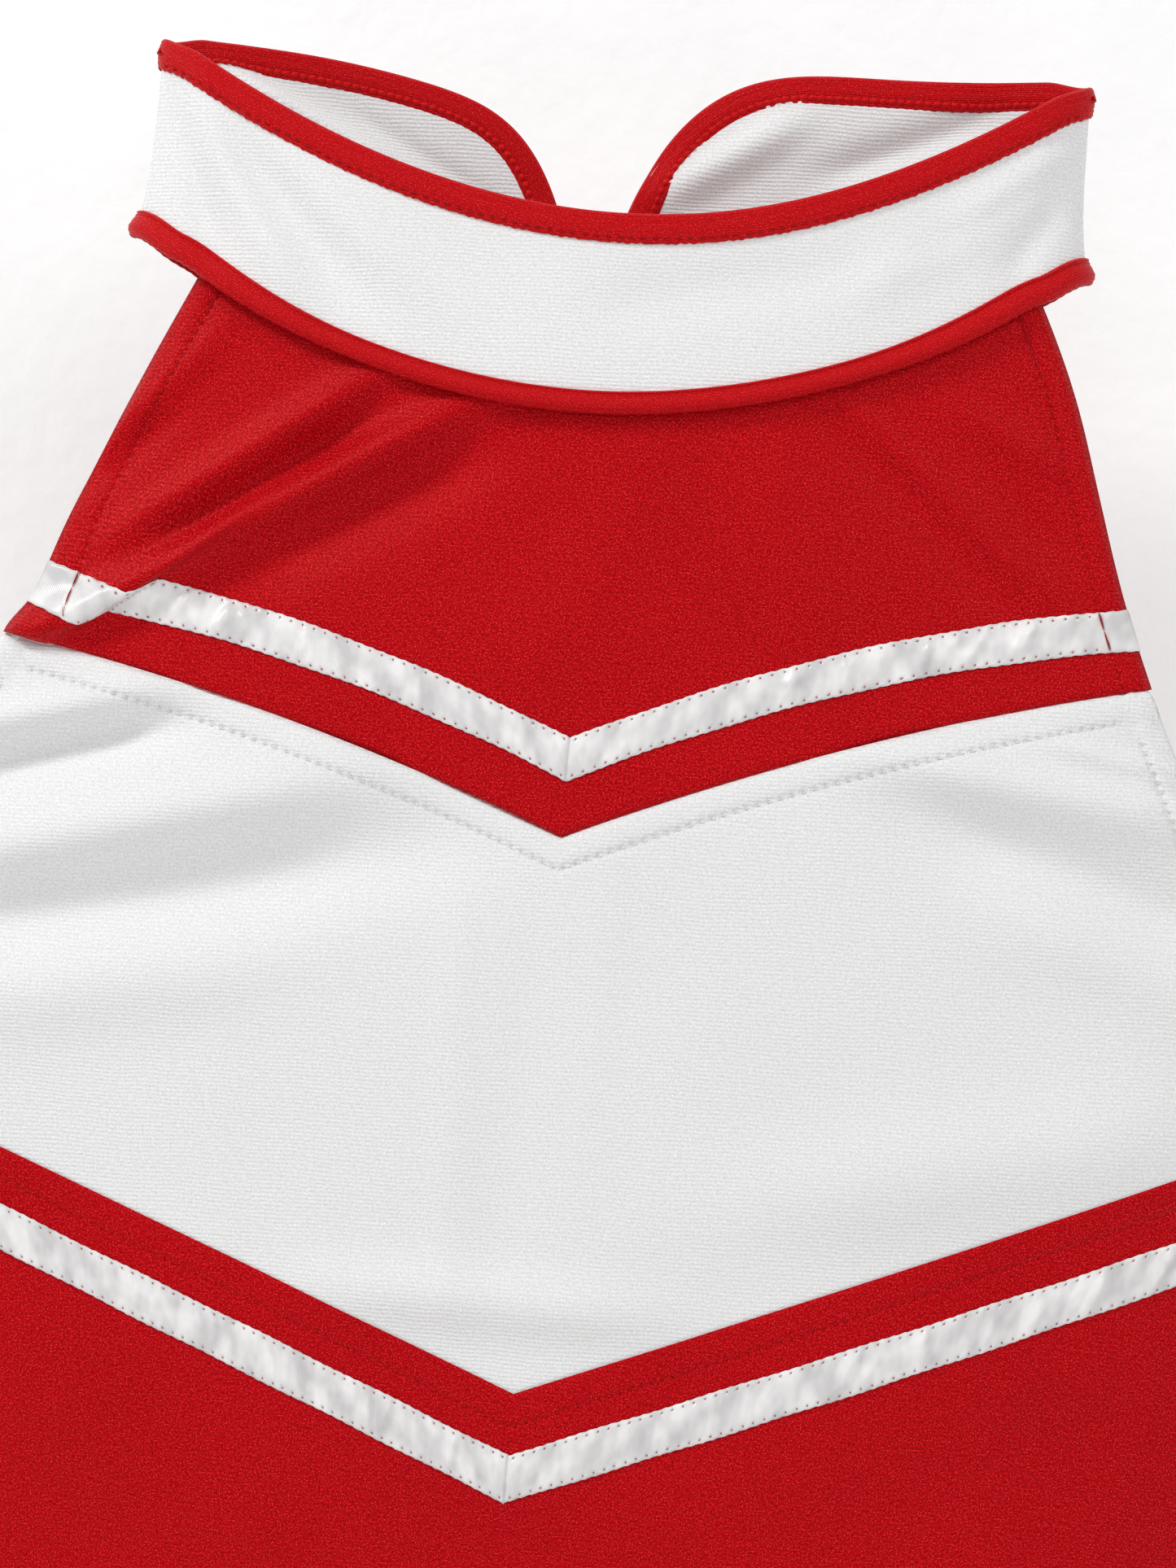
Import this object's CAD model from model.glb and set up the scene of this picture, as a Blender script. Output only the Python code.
"""Looks of a halter cheer uniform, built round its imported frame.

The cloth is drawn in its own flat coordinates, u across and v up, in millimetres, and one
surface function for each part of the garment hangs it in space.  Meshes are made in metres.
"""
import logging
import math
from dataclasses import dataclass
from enum import Enum
from typing import Callable, Iterable, Sequence

import bmesh
import bpy
import numpy as np
from mathutils import Matrix, Vector


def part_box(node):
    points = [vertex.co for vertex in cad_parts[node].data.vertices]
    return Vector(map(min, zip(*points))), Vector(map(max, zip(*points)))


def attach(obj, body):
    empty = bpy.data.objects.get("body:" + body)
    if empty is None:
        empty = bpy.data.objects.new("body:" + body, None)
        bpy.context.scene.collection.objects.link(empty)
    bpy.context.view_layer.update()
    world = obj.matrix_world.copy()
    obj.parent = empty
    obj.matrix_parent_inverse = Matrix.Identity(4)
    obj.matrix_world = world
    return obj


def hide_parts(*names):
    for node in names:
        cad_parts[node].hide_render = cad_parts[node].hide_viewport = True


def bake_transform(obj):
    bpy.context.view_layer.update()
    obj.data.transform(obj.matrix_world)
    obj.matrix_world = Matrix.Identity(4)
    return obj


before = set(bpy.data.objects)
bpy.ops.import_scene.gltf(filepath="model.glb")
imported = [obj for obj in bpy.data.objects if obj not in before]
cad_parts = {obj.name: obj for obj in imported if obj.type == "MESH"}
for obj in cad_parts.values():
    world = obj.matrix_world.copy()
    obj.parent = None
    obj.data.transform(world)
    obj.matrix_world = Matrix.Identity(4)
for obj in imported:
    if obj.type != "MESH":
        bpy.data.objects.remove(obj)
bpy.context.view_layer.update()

LOG = logging.getLogger("uniform")
MM = 0.001
UV_NAME = "cloth_mm"
STITCH_UV = "stitch_mm"
SEWN = "_sewn"
NO_STITCH = 99.0
Edge = Callable[[np.ndarray], np.ndarray]


class Body(Enum):
    """The rigid bodies that pieces ride on."""

    ROOT = "root"
    LEFT = "collar_left_half"
    RIGHT = "collar_right_half"


class Slot(Enum):
    """The record's material slots."""

    WHITE_KNIT = "white_knit"
    RED_KNIT = "red_knit"
    BINDING = "red_binding"
    RIBBON = "satin_ribbon"
    ELASTIC = "elastic"
    LINING = "lining"
    LABEL = "label"
    METAL = "hook_metal"


# ---- Sewn lines of the garment, in flat cloth millimetres ----
def box_mm(node: str) -> tuple[Vector, Vector]:
    """Lowest and highest corner of a frame node, in millimetres."""
    low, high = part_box(node)
    return low / MM, high / MM


NECK_HALF = box_mm("collar_front")[1].x
UNDERARM_HALF = box_mm("chest_panel")[1].x
WAIST_TOP = box_mm("lower_panel_front")[0].z
WAIST_BOTTOM = box_mm("skirt_front")[1].z
HEM = box_mm("skirt_front")[0].z
HEM_HALF = box_mm("skirt_front")[1].x
HEM_DEPTH = -box_mm("skirt_front")[0].y
UNDERARM = -215.0
WAIST_HALF = 166.0
WAIST_DEPTH = 26.0

BINDING_TALL = 7.0
RIBBON_TALL = 11.0
HEM_FOLD = 6.2
HEM_STARTS = 118.0
TOPSTITCH = 7.0
STITCH_PITCH = 2.7
NAPE_GAP = 3.5
HANG_SKEW = 0.035
FOLD_MARGIN = 5.0
BINDING_SEAM = 2.3
UNDERLAP = 1.0


def collar_top(u: np.ndarray) -> np.ndarray:
    """Front neckline, lowest a little to the right of the centre, with its ends turned down."""
    dip = 2.8 * np.exp(-(((u - 24.0) / 66.0) ** 2))
    return -35.6 * (1 - (u / 108.0) ** 2) - dip - 1.8 * ease((np.abs(u) - 100.0) / 10.0)


def collar_hem(u: np.ndarray) -> np.ndarray:
    """Where the collar meets its lower binding."""
    slack = (2.6 + 2.0 * np.exp(-(((u + 2.0) / 42.0) ** 2))) * (1 - ease((np.abs(u) - 98.0) / 12.0))
    return -(77.5 - 0.00322 * u * u + 0.0150 * np.maximum(0.0, np.abs(u) - 90.0) ** 2) - slack


def nape_top(u: np.ndarray) -> np.ndarray:
    """Upper edge of the collar's back halves."""
    uneven = 3.4 * np.exp(-(((u - 36.0) / 28.0) ** 2)) - 2.7 * np.exp(-(((u + 36.0) / 30.0) ** 2))
    droop = 1.8 * ease((np.abs(u) - 100.0) / 10.0)
    return uneven - droop - (4.0 * (1 - np.abs(u) / 100.0) + 60.0 * np.exp(-np.abs(u) / 12.5))


def yoke_seam(u: np.ndarray) -> np.ndarray:
    """Seam between the yoke and the chest panel."""
    return -(182.3 - 0.425 * np.abs(u) + 0.00088 * u * u)


def yoke_ribbon_top(u: np.ndarray) -> np.ndarray:
    """Upper edge of the yoke's ribbon."""
    return -(159.5 - 0.455 * np.abs(u) + 0.00132 * u * u)


def chevron(u: np.ndarray) -> np.ndarray:
    """Seam between the chest panel and the lower panel."""
    return -(310.2 - 0.393 * np.abs(u))


def lower_ribbon_top(u: np.ndarray) -> np.ndarray:
    """Upper edge of the lower ribbon."""
    return -(323.9 - 0.395 * np.abs(u)) - 0.0065 * u


def back_edge(u: np.ndarray) -> np.ndarray:
    """Top of the low back."""
    return UNDERARM - 17.0 * (1 - (u / UNDERARM_HALF) ** 2)


def waist_line(u: np.ndarray) -> np.ndarray:
    """Waist seam."""
    return np.full_like(u, WAIST_TOP)


def lowered(edge: Edge, amount: float) -> Edge:
    """The same edge, a set amount further down."""
    return lambda u: edge(u) - amount


def smooth_interp(x: np.ndarray, xs: Sequence[float], ys: Sequence[float]) -> np.ndarray:
    """Cubic Hermite curve through a few points, with no overshoot at the ends.

    Args:
        x: where to read the curve.
        xs: rising positions of the points.
        ys: values at the points.

    Returns:
        The curve's values at x.
    """
    xs_, ys_ = np.asarray(xs, float), np.asarray(ys, float)
    slopes = np.gradient(ys_, xs_)
    x = np.clip(x, xs_[0], xs_[-1])
    i = np.clip(np.searchsorted(xs_, x) - 1, 0, len(xs_) - 2)
    h = xs_[i + 1] - xs_[i]
    t = (x - xs_[i]) / h
    a = ys_[i] * (1 + 2 * t) * (1 - t) ** 2 + slopes[i] * h * t * (1 - t) ** 2
    return a + ys_[i + 1] * t * t * (3 - 2 * t) + slopes[i + 1] * h * t * t * (t - 1)


ARMHOLE_X = (88.0, 106.7, 114.8, 123.5, 132.5, 140.0, 158.0, UNDERARM_HALF)
ARMHOLE_Z = (-34.0, -75.0, -97.0, -120.0, -141.0, -157.0, -188.0, UNDERARM)


def armhole_half(v: np.ndarray) -> np.ndarray:
    """Half-width of the front between its armhole edges, at height v."""
    return smooth_interp(-v, [-z for z in ARMHOLE_Z], ARMHOLE_X)


def armhole_height(u: np.ndarray) -> np.ndarray:
    """Height of the armhole edge at a distance u from the centre."""
    return smooth_interp(np.abs(u), ARMHOLE_X, ARMHOLE_Z)


def armhole_inset(u: np.ndarray, v: np.ndarray) -> np.ndarray:
    """Distance in from the armhole edge, square to it."""
    slope = armhole_half(v - 0.5) - armhole_half(v + 0.5)
    return (armhole_half(v) - np.abs(u)) / np.sqrt(1 + slope * slope)


def below(edge: Edge, u: np.ndarray, v: np.ndarray) -> np.ndarray:
    """Distance below an edge, square to it."""
    slope = edge(u + 0.5) - edge(u - 0.5)
    slope = np.where(np.abs(u) < 0.5, edge(u + 1.0) - edge(u), slope)
    return (edge(u) - v) / np.sqrt(1 + slope * slope)


def corner(edge: Edge) -> float:
    """Where an edge meets the armhole, as a half-width."""
    u = 120.0
    for _ in range(40):
        u = 0.5 * u + 0.5 * float(armhole_half(edge(np.array([u])))[0])
    return u


# ---- How the cloth hangs ----
def ease(t: np.ndarray) -> np.ndarray:
    """Smooth step from 0 to 1."""
    t = np.clip(t, 0.0, 1.0)
    return t * t * (3 - 2 * t)


def beside(start: tuple[float, float], end: tuple[float, float], x: np.ndarray,
           z: np.ndarray) -> tuple[np.ndarray, np.ndarray, tuple[float, float]]:
    """Places points against a straight line.

    Args:
        start: the line's first end.
        end: its other end.
        x: positions across.
        z: positions up.

    Returns:
        The share of the line passed, the distance to its left, and the line's direction.
    """
    (x0, z0), (x1, z1) = start, end
    length = math.hypot(x1 - x0, z1 - z0)
    tx, tz = (x1 - x0) / length, (z1 - z0) / length
    return ((x - x0) * tx + (z - z0) * tz) / length, (x - x0) * -tz + (z - z0) * tx, (tx, tz)


@dataclass(frozen=True)
class Fold:
    """A soft ridge in the cloth, or a valley where its height is negative."""

    start: tuple[float, float]
    end: tuple[float, float]
    height: float
    width: float
    fade: float = 0.28

    def lift(self, x: np.ndarray, z: np.ndarray) -> np.ndarray:
        """How far the fold brings each point towards the front."""
        along, across, _ = beside(self.start, self.end, x, z)
        reach = ease((along + self.fade) / (2 * self.fade)) * ease((1 + self.fade - along) / (2 * self.fade))
        return self.height * reach * np.exp(-((across / self.width) ** 2))


COLLAR_FOLDS = (
    Fold((-104, -20), (-91, -54), -2.2, 4.0),
    Fold((-99, -20), (-72, -62), 2.2, 5.0),
    Fold((-92, -26), (-57, -62), -1.9, 5.0),
    Fold((-85, -24), (-40, -62), 1.2, 5.5),
    Fold((106, -12), (80, -32), 1.5, 3.5),
    Fold((101, -18), (70, -42), -1.4, 4.0),
    Fold((98, -22), (60, -50), 1.4, 5.0),
    Fold((104, -24), (92, -44), -1.4, 4.0),
    Fold((0, -60), (52, -47), -1.2, 7.0),
)
YOKE_FOLDS = (
    Fold((-54, -79), (-110, -124), 3.9, 4.5),
    Fold((-57, -90), (-102, -124), -4.6, 5.0),
    Fold((-34, -86), (-124, -145), 5.0, 4.6, 0.2),
    Fold((-26, -94), (-82, -129), -4.2, 9.0),
    Fold((-92, -72), (-112, -98), 1.9, 4.0),
    Fold((-100, -92), (-118, -112), -1.6, 4.0),
    Fold((58, -80), (107, -119), 2.0, 2.6),
    Fold((54, -84), (102, -125), -1.9, 4.5),
    Fold((80, -76), (105, -88), 1.6, 3.5),
    Fold((84, -86), (110, -108), -1.1, 4.0),
    Fold((13, -92), (-12, -153), 1.6, 12.0),
    Fold((34, -88), (58, -140), 1.1, 9.0),
)
CHEST_FOLDS = (
    Fold((-150, -172), (-99, -157), 3.2, 4.5),
    Fold((-152, -184), (-90, -164), -5.5, 5.5),
    Fold((-152, -204), (-52, -173), 5.3, 9.0),
    Fold((-156, -218), (-30, -187), -5.5, 11.0),
    Fold((-158, -236), (-60, -216), 2.3, 10.0),
    Fold((72, -158), (152, -168), 4.1, 7.0),
    Fold((82, -170), (158, -194), -4.6, 9.0),
    Fold((108, -151), (146, -157), 1.8, 2.6),
    Fold((104, -190), (170, -214), 2.8, 10.0),
    Fold((-46, -289), (30, -290), 3.0, 7.0),
    Fold((53, -262), (150, -238), 3.0, 13.0),
    Fold((-22, -192), (-17, -300), 0.5, 5.0),
    Fold((-4, -190), (-6, -285), -0.3, 5.0),
    Fold((12, -188), (10, -270), 0.3, 5.0),
)
LOWER_FOLDS = (
    Fold((-150, -300), (-60, -345), 1.2, 14.0),
    Fold((150, -300), (40, -352), -1.2, 16.0),
    Fold((60, -345), (110, -390), 1.4, 12.0),
    Fold((-40, -352), (-90, -392), -1.2, 14.0),
)
BACK_FOLDS = (
    Fold((-160, -240), (-40, -262), 2.0, 9.0),
    Fold((165, -236), (30, -268), -2.0, 10.0),
    Fold((-60, -250), (70, -256), 1.4, 8.0),
    Fold((-110, -300), (-60, -392), 1.6, 12.0),
    Fold((90, -310), (60, -392), 1.6, 12.0),
    Fold((10, -300), (0, -392), -1.5, 12.0),
)
NAPE_FOLDS = (
    Fold((-92, -12), (-48, -30), -6.0, 2.4),
    Fold((-64, -15), (-20, -36), 0.9, 2.0),
    Fold((16, -30), (44, -10), -3.2, 4.0),
    Fold((52, -22), (86, -6), 2.8, 4.0),
)


@dataclass(frozen=True)
class Tuck:
    """A crease where a strip of the cloth has slid under itself."""

    start: tuple[float, float] = (-129.1, -145.0)
    end: tuple[float, float] = (-62.0, -97.0)
    hidden: float = 7.4
    spread: float = 7.7
    recovery: float = 12.0
    opening: float = 0.19
    closing: float = 0.55
    height: float = 2.0
    crest_fall: float = 5.0

    def slide(self, u: np.ndarray, v: np.ndarray) -> tuple[np.ndarray, np.ndarray]:
        """Moves the cloth above the crease down over the hidden strip.

        Args:
            u: flat positions across.
            v: flat positions up.

        Returns:
            The moved u and v.
        """
        along, across, (tx, tz) = beside(self.start, self.end, u, v)
        reach = ease(along / self.opening) * ease((1.0 - along) / self.closing)
        far = np.exp(-((np.maximum(0.0, across) / self.recovery) ** 2))
        step = self.hidden * reach * far * np.clip(across / self.spread + 0.5, 0.0, 1.0)
        return u + tz * step, v - tx * step

    def crest(self, u: np.ndarray, v: np.ndarray) -> np.ndarray:
        """Height of the sharp ridge where the cloth turns under."""
        along, across, _ = beside(self.start, self.end, u, v)
        reach = ease((along + 0.05) / 0.12) * ease((1.05 - along) / 0.35)
        past = across - self.spread / 2
        profile = np.where(past > 0, np.exp(-past / self.crest_fall), ease(across / self.spread + 0.5))
        return self.height * reach * profile


@dataclass(frozen=True)
class Ring:
    """One elliptical cross-section of the hanging garment."""

    height: float
    half_width: float
    half_depth: float


RINGS = (
    Ring(HEM, HEM_HALF, HEM_DEPTH),
    Ring(WAIST_BOTTOM, WAIST_HALF, WAIST_DEPTH),
    Ring(WAIST_TOP, WAIST_HALF, WAIST_DEPTH),
    Ring(-300.0, 180.0, 26.0),
    Ring(UNDERARM, UNDERARM_HALF, 25.0),
    Ring(-140.0, 161.0, 22.0),
    Ring(-95.0, 135.5, 19.0),
    Ring(-50.0, NECK_HALF + 2.3, 16.0),
    Ring(0.0, NECK_HALF - 2.2, 13.3),
    Ring(14.0, NECK_HALF - 3.4, 12.5),
)
COLLAR_STANDOFF = 2.4


def half_width(z: np.ndarray) -> np.ndarray:
    """Half-width of the garment at height z."""
    return smooth_interp(z, [r.height for r in RINGS], [r.half_width for r in RINGS])


def half_depth(z: np.ndarray) -> np.ndarray:
    """Half-depth of the garment at height z."""
    return smooth_interp(z, [r.height for r in RINGS], [r.half_depth for r in RINGS])


class Surface:
    """A part of the hanging garment: flat cloth positions in, points in space out."""

    def at(self, u: np.ndarray, v: np.ndarray) -> np.ndarray:
        """Points in space, in millimetres, of flat positions u and v."""
        raise NotImplementedError

    def normal(self, u: np.ndarray, v: np.ndarray) -> np.ndarray:
        """Unit normals, out of the garment."""
        step = 0.15
        along = self.at(u + step, v) - self.at(u - step, v)
        up = self.at(u, v + step) - self.at(u, v - step)
        cross = np.cross(along, up)
        return cross / np.maximum(np.linalg.norm(cross, axis=-1, keepdims=True), 1e-9)

    def proud(self, u: np.ndarray, v: np.ndarray, height: float | np.ndarray) -> np.ndarray:
        """Points a set height off the surface."""
        return self.at(u, v) + self.normal(u, v) * np.asarray(height)[..., None]


def sag(x: np.ndarray, z: np.ndarray) -> np.ndarray:
    """Slow unevenness of hanging cloth."""
    rng = np.random.default_rng(7)
    total = np.zeros_like(x)
    longest = 95.0
    for _ in range(7):
        size, turn, phase = rng.uniform(34, longest), rng.uniform(0, math.tau), rng.uniform(0, math.tau)
        place = x * math.cos(turn) + z * math.sin(turn)
        total = total + np.sin(place * math.tau / size + phase) * size / longest
    return total


@dataclass(frozen=True)
class Bodice(Surface):
    """The front or the back of the tube from the collar to the waist."""

    facing: float
    folds: tuple[Fold, ...]
    standoff: float = 0.0
    tuck: Tuck | None = None
    relief: Callable[[np.ndarray, np.ndarray], np.ndarray] | None = None
    collar: bool = False
    sway: float = 0.0
    lean: float = 0.0
    uneven: float = 0.16

    def across(self, u: np.ndarray, z: np.ndarray) -> np.ndarray:
        """Position across the tube of a flat position u at height z."""
        wide = half_width(z)
        if self.collar:
            return np.clip(u * wide / NECK_HALF, -wide, wide)
        share = ease((UNDERARM + 30.0 - z) / 30.0)
        return np.clip(u * (1 + share * (wide / UNDERARM_HALF - 1)), -wide, wide)

    def at(self, u: np.ndarray, v: np.ndarray) -> np.ndarray:
        """Points in space, in millimetres, of flat positions u and v."""
        x, z = (u, v) if self.tuck is None else self.tuck.slide(u, v)
        x = self.across(x, z)
        wide = half_width(z)
        bulge = np.sqrt(np.maximum(0.0, 1 - (x / wide) ** 2))
        z = z + HANG_SKEW * x * ease((z - WAIST_TOP) / 258.0)
        lift = sum((fold.lift(x, z) for fold in self.folds), np.zeros_like(x))
        lift = lift + self.uneven * sag(x, z) + self.standoff
        if self.relief is not None:
            lift = lift + self.relief(u, v)
        out = half_depth(z) * bulge + lift * np.minimum(1.0, 2.2 * bulge)
        x = x + self.sway * bulge ** 4 + self.lean * np.exp(-(((z + 62.0) / 50.0) ** 2))
        return np.stack([x, -self.facing * out, z], axis=-1)

    def normal(self, u: np.ndarray, v: np.ndarray) -> np.ndarray:
        """Unit normals, out of the garment."""
        return super().normal(u, v) * self.facing


def on_tube(edge: Edge) -> Edge:
    """An edge drawn across the tube, as an edge in flat u, below the underarm."""
    def drawn(u: np.ndarray) -> np.ndarray:
        z = edge(u)
        for _ in range(8):
            z = edge(u * half_width(z) / UNDERARM_HALF)
        return z
    return drawn


# ---- Meshes ----
def make_mesh(name: str, points: np.ndarray, faces: Iterable[Sequence[int]], uv: np.ndarray,
              stitch: np.ndarray | None = None) -> bpy.types.Object:
    """A smooth mesh object from points in millimetres.

    Args:
        name: the piece's name.
        points: corner positions, one row each.
        faces: corner indices of each face.
        uv: flat cloth position of each point, in millimetres.
        stitch: place along the nearest stitched line and distance from it, for each point.

    Returns:
        The new object, linked to the scene.
    """
    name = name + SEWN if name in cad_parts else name
    mesh = bpy.data.meshes.new(name)
    mesh.from_pydata((points * MM).tolist(), [], [list(f) for f in faces])
    loops = np.zeros(len(mesh.loops), np.int32)
    mesh.loops.foreach_get("vertex_index", loops)
    if stitch is None:
        stitch = np.full_like(uv, NO_STITCH)
    for label, values in ((UV_NAME, uv), (STITCH_UV, stitch)):
        mesh.uv_layers.new(name=label).data.foreach_set("uv", values[loops].astype(np.float32).ravel())
    mesh.polygons.foreach_set("use_smooth", np.ones(len(mesh.polygons), bool))
    mesh.update()
    piece = bpy.data.objects.new(name, mesh)
    bpy.context.scene.collection.objects.link(piece)
    return piece


def quads(index: np.ndarray) -> np.ndarray:
    """Corner numbers of the faces between the rows and columns of a grid of numbers."""
    corners = [index[:-1, :-1], index[:-1, 1:], index[1:, 1:], index[1:, :-1]]
    return np.stack(corners, axis=-1).reshape(-1, 4)


def shell(name: str, outer: np.ndarray, inner: np.ndarray, uv: np.ndarray,
          stitch: np.ndarray | None = None, closed: bool = False) -> bpy.types.Object:
    """A closed cloth shell between two grids of points.

    Args:
        name: the piece's name.
        outer: rows by columns by 3, the outer face.
        inner: the same for the inner face.
        uv: rows by columns by 2, flat cloth positions.
        stitch: rows by columns by 2, place along the nearest stitched line and distance from it.
        closed: whether the last column joins the first, as in a ring.

    Returns:
        The new object.
    """
    lift = outer.shape[0] * outer.shape[1]
    index = np.arange(lift).reshape(outer.shape[:2])
    if closed:
        index = np.concatenate([index, index[:, :1]], axis=1)
    back = quads(index)
    rims = [index[0], index[-1]] if closed else [index[0], index[-1][::-1], index[::-1, 0], index[:, -1]]
    walls = [[r[i], r[i + 1], r[i + 1] + lift, r[i] + lift] for r in rims for i in range(len(r) - 1)]
    points = np.concatenate([outer.reshape(-1, 3), inner.reshape(-1, 3)])
    flat = np.tile(uv.reshape(-1, 2), (2, 1))
    sewn = None if stitch is None else np.tile(stitch.reshape(-1, 2), (2, 1))
    faces = [*back[:, [0, 3, 2, 1]].tolist(), *(back + lift).tolist(), *walls]
    piece = make_mesh(name, points, faces, flat, sewn)
    fix_normals(piece)
    return piece


StitchField = Callable[[np.ndarray, np.ndarray], tuple[np.ndarray, np.ndarray]]


@dataclass(frozen=True)
class Panel:
    """A cloth panel between an upper and a lower edge."""

    name: str
    surface: Surface
    upper: Edge
    lower: Edge
    half: float
    lower_half: float | None = None
    start: float | None = None
    thick: float = 0.8
    depth: float = 0.0
    step: float = 1.7
    rows: int = 6
    rounded: bool = False
    stitched: StitchField | None = None

    def columns(self) -> np.ndarray:
        """Positions across the panel's upper edge."""
        low = -self.half if self.start is None else self.start
        count = max(8, int(abs(self.half - low) / self.step))
        count += count % 2
        if not self.rounded:
            return np.linspace(low, self.half, count + 1)
        reach = max(abs(low), abs(self.half))
        finer = int(count * 1.2) // 2 * 2 + 1
        angles = np.linspace(math.asin(low / reach), math.asin(self.half / reach), finer)
        return reach * np.sin(angles)

    def grid(self) -> tuple[np.ndarray, np.ndarray]:
        """Flat positions u and v of the panel's grid, rows by columns."""
        s = self.columns()
        foot = s if self.lower_half is None else s * (self.lower_half / max(abs(s[0]), abs(s[-1])))
        top, bottom = self.upper(s), self.lower(foot)
        rows = max(self.rows, int(np.max(top - bottom) / self.step))
        t = np.linspace(0, 1, rows + 1)[:, None]
        v = top * (1 - t) + bottom * t
        if self.lower_half is None:
            return np.broadcast_to(s, v.shape).copy(), v
        end = int(np.argmax(np.abs(s)))
        side = v[:, end:end + 1]
        return s / abs(s[end]) * armhole_half(side), v

    def build(self) -> bpy.types.Object:
        """Makes the panel's closed shell."""
        u, v = self.grid()
        outer = self.surface.proud(u, v, np.full_like(u, -self.depth))
        inner = self.surface.proud(u, v, np.full_like(u, -self.depth - self.thick))
        stitch = None if self.stitched is None else np.stack(self.stitched(u, v), axis=-1)
        return shell(self.name, outer, inner, np.stack([u, v], axis=-1), stitch)

    def flat_size(self) -> tuple[tuple[float, float], float]:
        """The cut's flat width and length in metres, and its flat area in square metres."""
        u, v = self.grid()
        tall = -0.5 * (np.diff(v, axis=0)[:, :-1] + np.diff(v, axis=0)[:, 1:])
        area = float(np.sum(np.abs(np.diff(u, axis=1)[:-1] * tall))) * MM * MM
        return (float(np.ptp(u)) * MM, float(np.ptp(v)) * MM), area


@dataclass(frozen=True)
class Ribbon:
    """A satin ribbon sewn flat to a panel, puckered by its two rows of stitches."""

    name: str
    surface: Surface
    upper: Edge
    start: float
    end: float
    seed: int
    tall: float = RIBBON_TALL
    thick: float = 0.30
    lift: float = 0.22
    pucker: float = 1.3
    lower_end: float | None = None
    hemmed: bool = False
    step: float = 0.85
    rows: int = 14
    row_inset: float = 0.9

    def puckers(self, along: np.ndarray, across: np.ndarray) -> np.ndarray:
        """Height of the cross ripples between the two rows of stitches."""
        rng = np.random.default_rng(self.seed)
        total = np.zeros_like(along)
        place, last = float(np.min(along)) + 2.0, float(np.max(along))
        while place < last:
            width, slant = rng.uniform(1.0, 2.7), rng.uniform(-0.45, 0.45)
            height = rng.uniform(0.25, 1.0) * (1 if rng.random() < 0.6 else -0.7)
            off = along - place - slant * (across - self.tall / 2)
            total = total + height * np.exp(-((off / width) ** 2))
            place += rng.uniform(2.6, 8.5)
        held = np.clip(np.minimum(across - 0.8, self.tall - 0.8 - across) / 2.6, 0, 1)
        return self.pucker * np.maximum(total, -0.12) * (0.12 + 0.88 * held)

    def build(self) -> bpy.types.Object:
        """Makes the ribbon's closed shell."""
        count = int(abs(self.end - self.start) / self.step)
        t = np.linspace(0, 1, self.rows + 1)[:, None]
        lower_end = self.end if self.lower_end is None else self.lower_end
        end = self.end + (lower_end - self.end) * t
        u = self.start + (end - self.start) * np.linspace(0, 1, count + 1)
        if self.start > self.end:
            u = u[:, ::-1]
        slope = np.hypot(1.0, np.gradient(self.upper(u[0]), u[0]))
        along = np.abs(u - self.start) * slope
        rng = np.random.default_rng(self.seed + 50)
        wave = 0.12 * np.sin(along * math.tau / STITCH_PITCH + rng.uniform(0, 6))
        wave = wave + 0.132 * np.sin(along / 5.3 + self.seed)
        across = t * self.tall
        v = self.upper(u) - across + wave * (2 * t - 1)
        ripple = self.puckers(along, across + 0 * along)
        if self.hemmed:
            ripple = ripple * ease((armhole_inset(u, v) - HEM_FOLD) / 3.0)
        round_edge = 0.16 * (np.clip(np.abs(2 * t - 1) - 0.86, 0, 1) / 0.14) ** 2
        outer = self.surface.proud(u, v, self.lift + self.thick + ripple - round_edge)
        inner = self.surface.proud(u, v, np.minimum(self.lift + ripple, self.lift) - 0.1)
        distance = np.minimum(across, self.tall - across) - self.row_inset + 0 * along
        if self.hemmed:
            distance = np.minimum(distance, armhole_inset(u, v) - HEM_FOLD)
        uv = np.stack([along, across + 0 * along], axis=-1)
        return shell(self.name, outer, inner, uv, np.stack([along, distance], axis=-1))


@dataclass(frozen=True)
class Path:
    """A line sewn along the cloth, as flat positions a fraction of a millimetre apart."""

    surface: Surface
    u: np.ndarray
    v: np.ndarray

    @staticmethod
    def along(surface: Surface, edge: Edge, start: float, end: float, rounded: bool = False,
              step: float = 0.8) -> "Path":
        """The path that follows an edge from one u to another."""
        count = max(8, int(abs(end - start) / step))
        u = np.linspace(start, end, count)
        if rounded:
            reach = max(abs(start), abs(end))
            low, high = math.asin(start / reach), math.asin(end / reach)
            u = reach * np.sin(np.linspace(low, high, int(count * 1.3)))
        return Path(surface, u, edge(u))

    def inset(self, distance: float) -> "Path":
        """The same path, moved square to itself, down into the cloth."""
        du, dv = np.gradient(self.u), np.gradient(self.v)
        size = np.hypot(du, dv)
        sign = np.where(du > 0, 1.0, -1.0)
        return Path(self.surface, self.u + distance * sign * dv / size, self.v - distance * sign * du / size)

    def lengths(self) -> np.ndarray:
        """Arc length in space at each point."""
        steps = np.linalg.norm(np.diff(self.surface.at(self.u, self.v), axis=0), axis=1)
        return np.concatenate([[0.0], np.cumsum(steps)])

    def frames(self) -> tuple[np.ndarray, np.ndarray, np.ndarray]:
        """Points, normals and downward directions along the path."""
        points = self.surface.at(self.u, self.v)
        normal = self.surface.normal(self.u, self.v)
        tangent = np.gradient(points, axis=0)
        tangent /= np.maximum(np.linalg.norm(tangent, axis=1, keepdims=True), 1e-9)
        down = np.cross(tangent, normal)
        down /= np.maximum(np.linalg.norm(down, axis=1, keepdims=True), 1e-9)
        down *= np.where(down[:, 2:] > 0, -1.0, 1.0)
        return points, normal, down


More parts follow.
